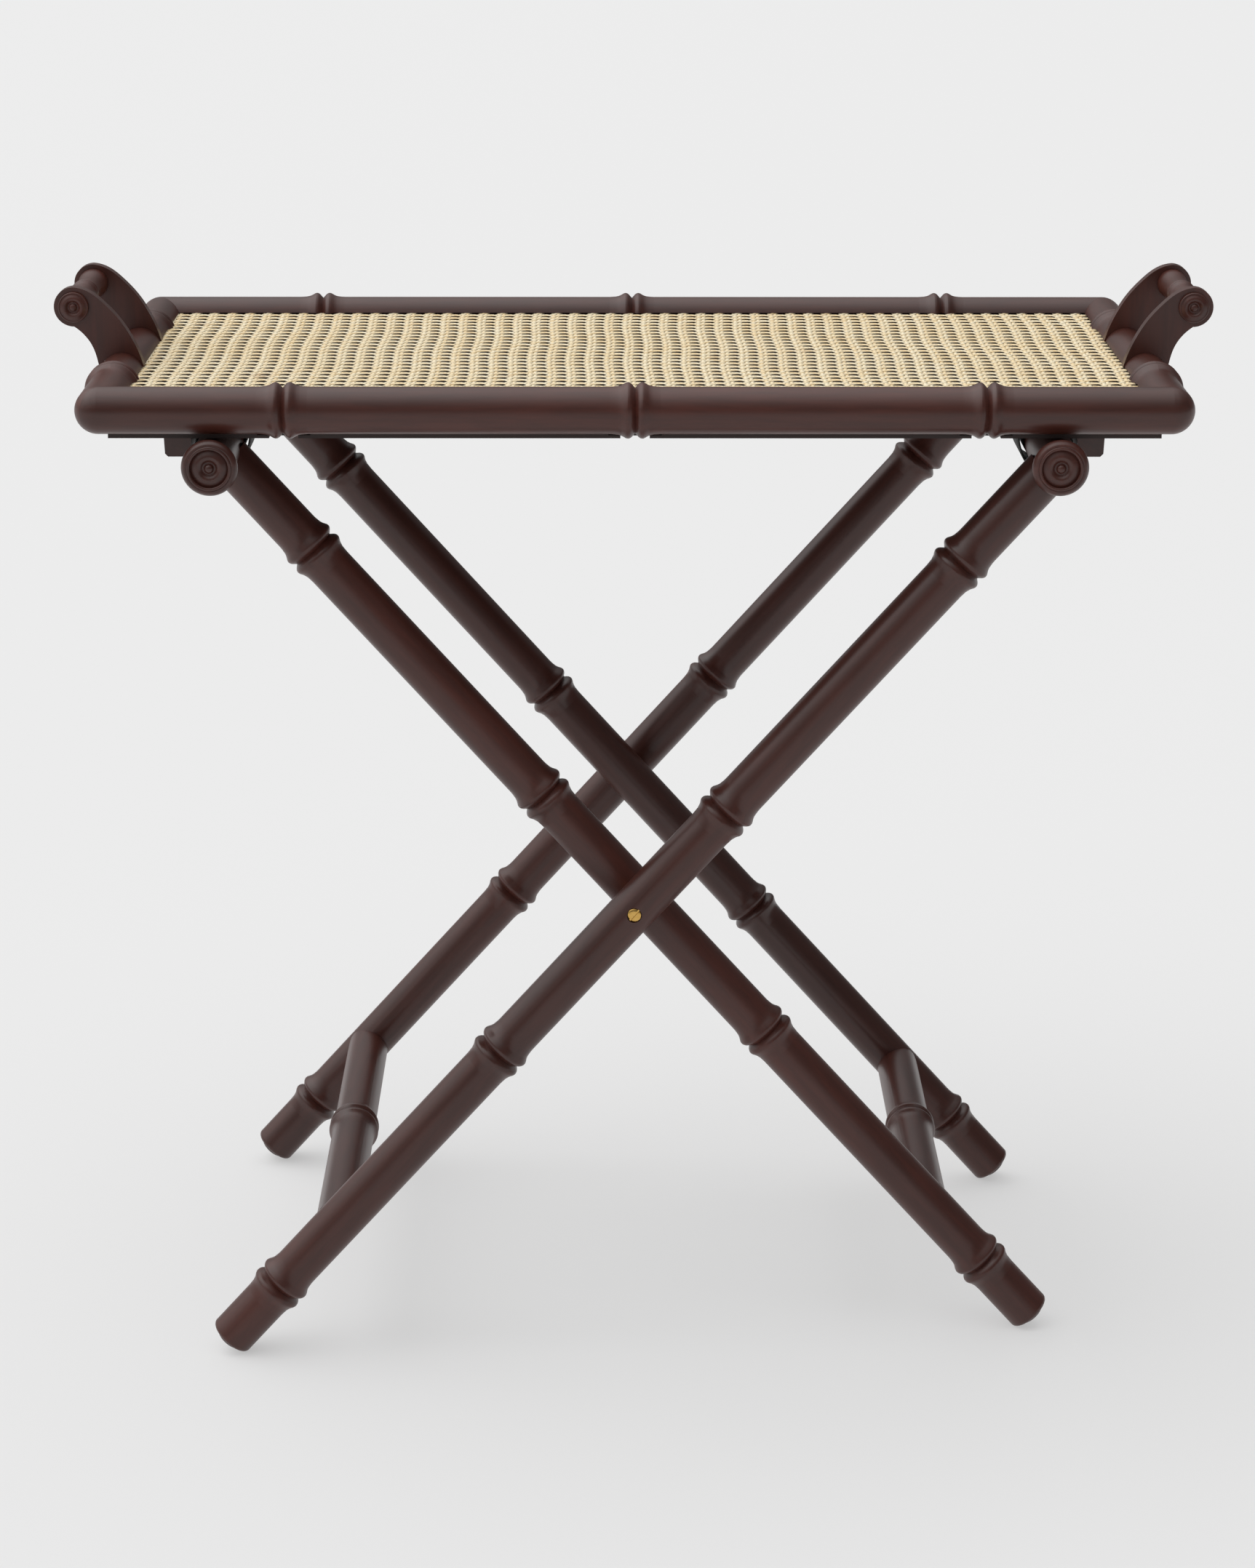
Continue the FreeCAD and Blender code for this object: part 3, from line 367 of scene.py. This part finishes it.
# ------------------------------------------------------------------ mesh helpers
def mesh_piece(name: str, points: Sequence[Sequence[float]], faces: Sequence[Sequence[int]],
               smooth: bool = True) -> bpy.types.Object:
    """Make an object from points and faces and put it in the scene.

    Args:
        name: the piece's name.
        points: vertex positions in metres.
        faces: vertex indices of each face.
        smooth: whether faces shade smoothly.

    Returns:
        The new object.
    """
    mesh = bpy.data.meshes.new(name)
    mesh.from_pydata(points, [], faces)
    mesh.polygons.foreach_set("use_smooth", [smooth] * len(mesh.polygons))
    mesh.update()
    piece = bpy.data.objects.new(name, mesh)
    bpy.context.scene.collection.objects.link(piece)
    return piece


class Tubework:
    """Gathers swept strips with a shared section into one mesh."""

    def __init__(self) -> None:
        """Start with nothing gathered."""
        self.points: list[np.ndarray] = []
        self.faces: list[tuple[int, ...]] = []
        self.tones: list[float] = []
        self.count = 0

    def sweep(self, path: np.ndarray, across: np.ndarray, section: Section,
              tone: float = 0.5) -> None:
        """Sweep a section along a path.

        Args:
            path: points of the centre line, one row each.
            across: unit vector across the strip, the section's first axis.
            section: closed outline as (across, outward) pairs, in metres.
            tone: a value stored on the strip's vertices.
        """
        steps = np.gradient(path, axis=0)
        steps /= np.linalg.norm(steps, axis=1)[:, None]
        outward = np.cross(steps, across)
        outward /= np.linalg.norm(outward, axis=1)[:, None]
        rings = [path + across * a + outward * b for a, b in section]
        size, start = len(section), self.count
        self.points.append(np.stack(rings, axis=1).reshape(-1, 3))
        for i in range(len(path) - 1):
            low = start + i * size
            for j in range(size):
                k = (j + 1) % size
                self.faces.append((low + j, low + k, low + size + k, low + size + j))
        last = start + (len(path) - 1) * size
        self.faces.append(tuple(range(start + size - 1, start - 1, -1)))
        self.faces.append(tuple(range(last, last + size)))
        self.tones += [tone] * (len(path) * size)
        self.count += len(path) * size

    def piece(self, name: str) -> bpy.types.Object:
        """Make the object, with each strip's tone as a vertex value.

        Args:
            name: the piece's name.

        Returns:
            The new object.
        """
        piece = mesh_piece(name, np.concatenate(self.points).tolist(), self.faces)
        tones = piece.data.attributes.new("strand_tone", "FLOAT", "POINT")
        tones.data.foreach_set("value", self.tones)
        return piece


# ------------------------------------------------------------------ the tray's cane
@dataclass
class CaneWebbing:
    """Half-inch webbing in the six-way pattern: pairs both ways, then two sets of diagonals."""

    pitch: tuple[float, float] = (12.9 * MM, 12.75 * MM)
    first_pair: tuple[float, float] = (-2.65 * MM, -1.9 * MM)
    pair_half: float = 1.55 * MM
    strand_width: float = 2.35 * MM
    diagonal_width: float = 2.3 * MM
    strand_thickness: float = 0.62 * MM
    weave_rise: float = 0.26 * MM
    diagonal_rise: float = 0.42 * MM
    shoulder: tuple[float, float] = (0.9, 0.25)
    crown_share: float = 0.35
    edge: float = 0.5 * MM
    rail_gap: float = 1.5 * MM
    between_pairs: tuple[float, float] = (0.38, 0.62)
    diagonal_levels: tuple[float, ...] = (1.0, 0.0, -1.0, 0.0)
    lean: float = 0.12 * MM
    wander: float = 0.06 * MM
    drift: float = 0.8 * MM
    drift_length: tuple[float, float] = (0.52, 0.15)
    seed: int = 11
    low: Vector = field(default_factory=lambda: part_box("cane_webbing")[0])
    high: Vector = field(default_factory=lambda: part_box("cane_webbing")[1])

    def section(self, width: float) -> Section:
        """Give a strand's outline: flat pith side down, rounded skin side up.

        Args:
            width: the strand's width in metres.

        Returns:
            The closed outline.
        """
        half, thick = width / 2, self.strand_thickness / 2
        crown, side = half * self.crown_share, half * self.shoulder[0]
        rise = thick * self.shoulder[1]
        return [(-half, -thick), (half, -thick), (side, rise),
                (crown, thick), (-crown, thick), (-side, rise)]

    def settle(self, path: np.ndarray) -> np.ndarray:
        """Let a strand drift sideways with its neighbours, as webbing does when it dries.

        Args:
            path: points of the strand's centre line.

        Returns:
            The same points, shifted along X.
        """
        long, short = self.drift_length
        sway = np.sin(2 * np.pi * (path[:, 0] / long + path[:, 1] / short))
        return path + np.outer(self.drift * sway, (1.0, 0.0, 0.0))

    def stations(self, axis: int) -> list[tuple[float, float]]:
        """List where a straight strand is sampled, as (position, place within the cell).

        Args:
            axis: 0 for positions along X, 1 along Y.

        Returns:
            Positions in metres with their fraction of a cell from the last pair.
        """
        pitch, first = self.pitch[axis], self.first_pair[axis]
        share = self.pair_half / pitch
        low, high = self.low[axis] + self.edge, self.high[axis] - self.edge
        found = []
        for cell in range(int((low - first) / pitch) - 1, int((high - first) / pitch) + 2):
            for part in (-share, share, *self.between_pairs):
                spot = first + (cell + part) * pitch
                if low <= spot <= high:
                    found.append((spot, part))
        return found

    def straight(self, axis: int, rng: random.Random) -> Tubework:
        """Weave the pairs that run along one axis.

        Args:
            axis: 0 for strands along X, 1 for strands along Y.
            rng: source of each strand's small irregularities.

        Returns:
            The gathered strands.
        """
        work, other = Tubework(), 1 - axis
        pitch, first = self.pitch[other], self.first_pair[other]
        share = self.pair_half / self.pitch[axis]
        low, high = self.low[other] + self.rail_gap, self.high[other] - self.rail_gap
        middle = (self.low[2] + self.high[2]) / 2
        across = np.array([0.0, -1.0, 0.0] if axis == 0 else [1.0, 0.0, 0.0])
        spots = self.stations(axis)
        for pair in range(int((low - first) / pitch) - 1, int((high - first) / pitch) + 2):
            for twin in (-1, 1):
                offset = first + pair * pitch + twin * self.pair_half
                if not low <= offset <= high:
                    continue
                tone, lean = rng.random(), rng.uniform(-self.lean, self.lean)
                path = np.zeros((len(spots), 3))
                for i, (spot, part) in enumerate(spots):
                    over = 0.0
                    if abs(abs(part) - share) < 1e-6:
                        over = twin * (1 if part > 0 else -1) * (1 if axis else -1)
                    path[i, axis] = spot
                    path[i, other] = offset + lean + rng.uniform(-self.wander, self.wander)
                    path[i, 2] = middle + over * self.weave_rise
                work.sweep(self.settle(path), across, self.section(self.strand_width), tone)
        return work

    def diagonal(self, slope: int, rng: random.Random, work: Tubework) -> None:
        """Weave the strands of one diagonal set, over one set of pairs and under the other.

        Args:
            slope: 1 for strands that rise to the right in plan, -1 for the others.
            rng: source of each strand's small irregularities.
            work: where the strands are gathered.
        """
        (px, py), (fx, fy) = self.pitch, self.first_pair
        low_x, high_x = self.low[0] + self.edge, self.high[0] - self.edge
        low_y, high_y = self.low[1] + self.edge, self.high[1] - self.edge
        middle = (self.low[2] + self.high[2]) / 2
        run = np.array([px, slope * py, 0.0])
        run /= np.linalg.norm(run)
        across = np.array([run[1], -run[0], 0.0])
        steps = len(self.diagonal_levels)
        reach = int((high_x - low_x) / px) + int((high_y - low_y) / py) + 4
        for strand in range(-reach, reach):
            tone, path = rng.random(), []
            for step in range(-steps * reach, steps * reach):
                u = step / steps
                x = fx + u * px
                y = fy + slope * (u + strand + 0.5) * py
                if not (low_x <= x <= high_x and low_y <= y <= high_y):
                    continue
                rise = self.diagonal_levels[step % steps] * slope
                path.append((x, y, middle + rise * self.diagonal_rise))
            if len(path) > 3:
                work.sweep(self.settle(np.array(path)), across,
                           self.section(self.diagonal_width), tone)

    def build(self) -> None:
        """Weave the webbing as three pieces that stand for the plain sheet."""
        rng = random.Random(self.seed)
        finish = CANE.build()
        diagonals = Tubework()
        self.diagonal(1, rng, diagonals)
        self.diagonal(-1, rng, diagonals)
        for name, work in (("cane_lengthwise_strands", self.straight(0, rng)),
                           ("cane_crosswise_strands", self.straight(1, rng)),
                           ("cane_diagonal_strands", diagonals)):
            piece = work.piece(name)
            piece.data.materials.append(finish)
            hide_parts("cane_webbing")
            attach(piece, "tray")
            LOG.info("%s: %d faces", name, len(piece.data.polygons))


# ------------------------------------------------------------------ the stand's straps
@dataclass
class LeatherStrap:
    """A strap across the two top rails, turned round each and stitched back under itself."""

    name: str
    node: str
    thickness: float = 1.15 * MM
    loop_radius: float = 17.4 * MM
    rail_x: float = 268.5 * MM
    lift_off: float = math.radians(190.0)
    tail_lean: float = math.radians(7.0)
    bulge: float = 0.8 * MM
    bend_radius: float = 3.0 * MM
    lap_end: float = 213.0 * MM
    lap_gap: float = 0.02 * MM
    edge_round: float = 0.35 * MM
    slack_reach: float = 0.235
    stitch_rows: tuple[float, ...] = (219.0 * MM, 231.0 * MM)
    stitch_pitch: float = 4.0 * MM
    stitch_inset: float = 3.5 * MM
    stitch_start: float = 0.2
    stitch_share: float = 0.7
    stitch_drop: float = 0.12 * MM
    stitch_dip: float = 0.25 * MM
    thread_radius: float = 0.35 * MM
    span_steps: int = 12
    loop_steps: int = 36
    tail_steps: int = 8
    bend_steps: int = 6
    lap_steps: int = 4

    def half_path(self, top: float) -> list[tuple[float, float]]:
        """Trace the strap's middle line from the mid span to the end of its right lap.

        Args:
            top: height of the span's upper face.

        Returns:
            Points as (x, z), in metres.
        """
        thick = self.thickness
        radius = self.loop_radius - thick / 2
        centre_z = top - self.loop_radius
        span_z, lap_z = top - thick / 2, top - 1.5 * thick - self.lap_gap
        path = [(self.rail_x * i / self.span_steps, span_z) for i in range(self.span_steps)]
        wrap = 2 * math.pi - self.lift_off + math.pi / 2
        for i in range(self.loop_steps + 1):
            angle = math.pi / 2 - wrap * i / self.loop_steps
            path.append((self.rail_x + radius * math.cos(angle),
                         centre_z + radius * math.sin(angle)))
        # slack from the loop up to the span's underside, bellied outwards, then into the lap
        x, z = path[-1]
        heading = math.pi / 2 + self.tail_lean
        fold = math.pi - heading
        foot_z = lap_z - self.bend_radius * (1 - math.cos(fold))
        rise = foot_z - z
        run = -rise * math.tan(self.tail_lean)
        length = math.hypot(run, rise)
        for i in range(1, self.tail_steps + 1):
            t = i / self.tail_steps
            belly = 4 * self.bulge * t * (1 - t)
            path.append((x + run * t - belly * rise / length, z + rise * t + belly * run / length))
        x, z = path[-1]
        mid = (x - self.bend_radius * math.sin(heading), z + self.bend_radius * math.cos(heading))
        for i in range(1, self.bend_steps + 1):
            a = heading + fold * i / self.bend_steps
            path.append((mid[0] + self.bend_radius * math.sin(a),
                         mid[1] - self.bend_radius * math.cos(a)))
        x = path[-1][0]
        path += [(x + (self.lap_end - x) * i / self.lap_steps, lap_z)
                 for i in range(1, self.lap_steps + 1)]
        return path

    def build(self, leather: bpy.types.Material, thread: bpy.types.Material) -> None:
        """Make the strap with its stitches, in place of the solid strap.

        Args:
            leather: finish of the strap.
            thread: finish of its stitches.
        """
        low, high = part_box(self.node)
        width, middle, top = high.y - low.y, (high.y + low.y) / 2, high.z
        right = self.half_path(top)
        outline = [(-x, z) for x, z in reversed(right[1:])] + right
        path = np.array([(x, middle, z) for x, z in outline])
        half, thick, edge = width / 2, self.thickness / 2, self.edge_round
        section = [(-half, -thick + edge), (-half + edge, -thick), (half - edge, -thick),
                   (half, -thick + edge), (half, thick - edge), (half - edge, thick),
                   (-half + edge, thick), (-half, thick - edge)]
        work = Tubework()
        work.sweep(path, np.array([0.0, 1.0, 0.0]), section)
        leather_faces = len(work.faces)
        under = top - 2 * self.thickness - self.stitch_drop
        bead = [(self.thread_radius * math.cos(a), self.thread_radius * math.sin(a))
                for a in (i * math.pi / 3 for i in range(6))]
        count = int((width - 2 * self.stitch_inset) / self.stitch_pitch)
        reach = self.stitch_pitch * self.stitch_share
        for side in (-1, 1):
            for row in self.stitch_rows:
                for i in range(count):
                    y = low.y + self.stitch_inset + (i + self.stitch_start) * self.stitch_pitch
                    line = [(side * row, y + t * reach,
                             under + self.stitch_dip * (2 * t - 1) ** 2)
                            for t in (0, 0.25, 0.5, 0.75, 1)]
                    work.sweep(np.array(line), np.array([1.0, 0.0, 0.0]), bead)
        piece = work.piece(self.name)
        piece.data.materials.append(leather)
        piece.data.materials.append(thread)
        index = [0] * leather_faces + [1] * (len(work.faces) - leather_faces)
        piece.data.polygons.foreach_set("material_index", index)
        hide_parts(self.node)
        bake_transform(piece)


# ------------------------------------------------------------------ the solids' finishes
PLAIN_FINISHES = {
    "pivot": BRASS, "glide": NYLON, "ledger": SOFTWOOD, "base_board": SHADE_DARKENED_PLYWOOD,
    "corner_dowels": BEECH, "board_screws": ZINC, "batten_screws": ZINC, "bracket_screws": ZINC}


@dataclass
class SolidParts:
    """Gives every solid that stays in view the finish of what it is."""

    materials: dict[str, bpy.types.Material] = field(default_factory=dict)

    def finish_for(self, node: str) -> tuple[str, Callable[[], bpy.types.Material]]:
        """Choose a solid's finish from what the piece is.

        Args:
            node: the solid's name.

        Returns:
            A key for the finish and the call that makes it.
        """
        for start, finish in PLAIN_FINISHES.items():
            if node.startswith(start):
                return finish.name, finish.build
        grain = Grain.LENGTHWISE
        if node.startswith("outer_leg"):
            grain = Grain.LEG_RISING_RIGHT
        elif node.startswith("inner_leg"):
            grain = Grain.LEG_RISING_LEFT
        elif node.startswith("handle_bracket"):
            grain = Grain.UPRIGHT
        elif node.endswith(("rail_left", "rail_right", "top_rail", "stretcher")) \
                or node.startswith(("handle_bar", "handle_rosette", "stop_batten")):
            grain = Grain.CROSSWISE
        return f"{LACQUER.name}_{grain.name}", lambda: LACQUER.build(grain)

    def build(self) -> None:
        """Dress every solid."""
        for node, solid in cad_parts.items():
            key, make = self.finish_for(node)
            if key not in self.materials:
                self.materials[key] = make()
            for slot in solid.material_slots:
                slot.material = self.materials[key]
            LOG.info("%s: %s", node, key)


# ------------------------------------------------------------------ room, light and camera
@dataclass
class Studio:
    """A pale seamless floor under soft light, and the camera."""

    floor_size: float = 60.0
    paper_colour: str = "#a0a0a0"
    glow_colour: str = "#ffffff"
    paper_glow: float = 0.445
    sky_colour: str = "#ffffff"
    wall_glow: float = 0.14
    ceiling_glow: float = 2.35
    ceiling_focus: float = 2.6
    ceiling_direction: Point = (-0.42, 0.10, 0.90)
    camera_place: Point = (-0.0164, -2.6617, 1.0964)
    camera_turn: float = math.radians(0.256)
    camera_pitch: float = math.radians(15.721)
    camera_roll: float = math.radians(-0.064)
    lens_mm: float = 90.9
    sensor_mm: float = 36.0
    clip_range: tuple[float, float] = (0.05, 100.0)

    def floor(self) -> None:
        """Lay the floor."""
        half = self.floor_size / 2
        floor = mesh_piece("studio_floor", [(-half, -half, 0), (half, -half, 0),
                                            (half, half, 0), (-half, half, 0)],
                           [(0, 1, 2, 3)], smooth=False)
        # matt seamless paper with an even glow of its own, so that shadows on it stay faint
        paper = MottledFinish("seamless_paper", roughness=0.95, light=self.paper_colour,
                              dark=self.paper_colour, mottle_mm=900.0, texture_mm=3.0,
                              texture_depth=0.01)
        material = paper.build()
        shader = next(n for n in material.node_tree.nodes if n.type == "BSDF_PRINCIPLED")
        shader.inputs["Emission Color"].default_value = rgb(self.glow_colour)
        shader.inputs["Emission Strength"].default_value = self.paper_glow
        floor.data.materials.append(material)

    def light(self) -> None:
        """Light the room: a broad soft ceiling, a little to the left, over dim walls."""
        world = bpy.data.worlds.new("studio_light")
        world.use_nodes = True
        tree = world.node_tree
        background = tree.nodes["Background"]
        background.inputs["Color"].default_value = rgb(self.sky_colour)
        direction = add_node(tree, "TexCoord").outputs["Generated"]
        aim = Vector(self.ceiling_direction).normalized()
        facing = add_node(tree, "VectorMath", {"operation": "DOT_PRODUCT"},
                          {0: direction, 1: aim})
        ahead = add_node(tree, "Math", {"operation": "MAXIMUM"},
                         {0: facing.outputs["Value"], 1: 0.0})
        focus = add_node(tree, "Math", {"operation": "POWER"},
                         {0: ahead.outputs[0], 1: self.ceiling_focus})
        glow = add_node(tree, "Math", {"operation": "MULTIPLY_ADD"}, {
            0: focus.outputs[0], 1: self.ceiling_glow, 2: self.wall_glow})
        tree.links.new(glow.outputs[0], background.inputs["Strength"])
        bpy.context.scene.world = world

    def camera(self) -> None:
        """Place the camera."""
        data = bpy.data.cameras.new("camera")
        data.sensor_fit = "AUTO"
        data.sensor_width = self.sensor_mm
        data.lens = self.lens_mm
        data.clip_start, data.clip_end = self.clip_range
        camera = bpy.data.objects.new("camera", data)
        camera.location = self.camera_place
        camera.rotation_euler = (math.pi / 2 - self.camera_pitch, self.camera_roll,
                                 -self.camera_turn)
        bpy.context.scene.collection.objects.link(camera)
        bpy.context.scene.camera = camera

    def build(self) -> None:
        """Set up the floor, the light, the camera and a plain display transform."""
        self.floor()
        self.light()
        self.camera()
        bpy.context.scene.view_settings.view_transform = "Standard"
        LOG.info("studio ready")


def main() -> None:
    """Build every sub-assembly in order."""
    logging.basicConfig(level=logging.INFO, format="%(name)s: %(message)s")
    Studio().build()
    SolidParts().build()
    CaneWebbing().build()
    leather, thread = LEATHER.build(), THREAD.build()
    for way in ("front", "rear"):
        LeatherStrap(f"leather_strap_{way}", f"strap_{way}").build(leather, thread)


if __name__ == "__main__":
    main()
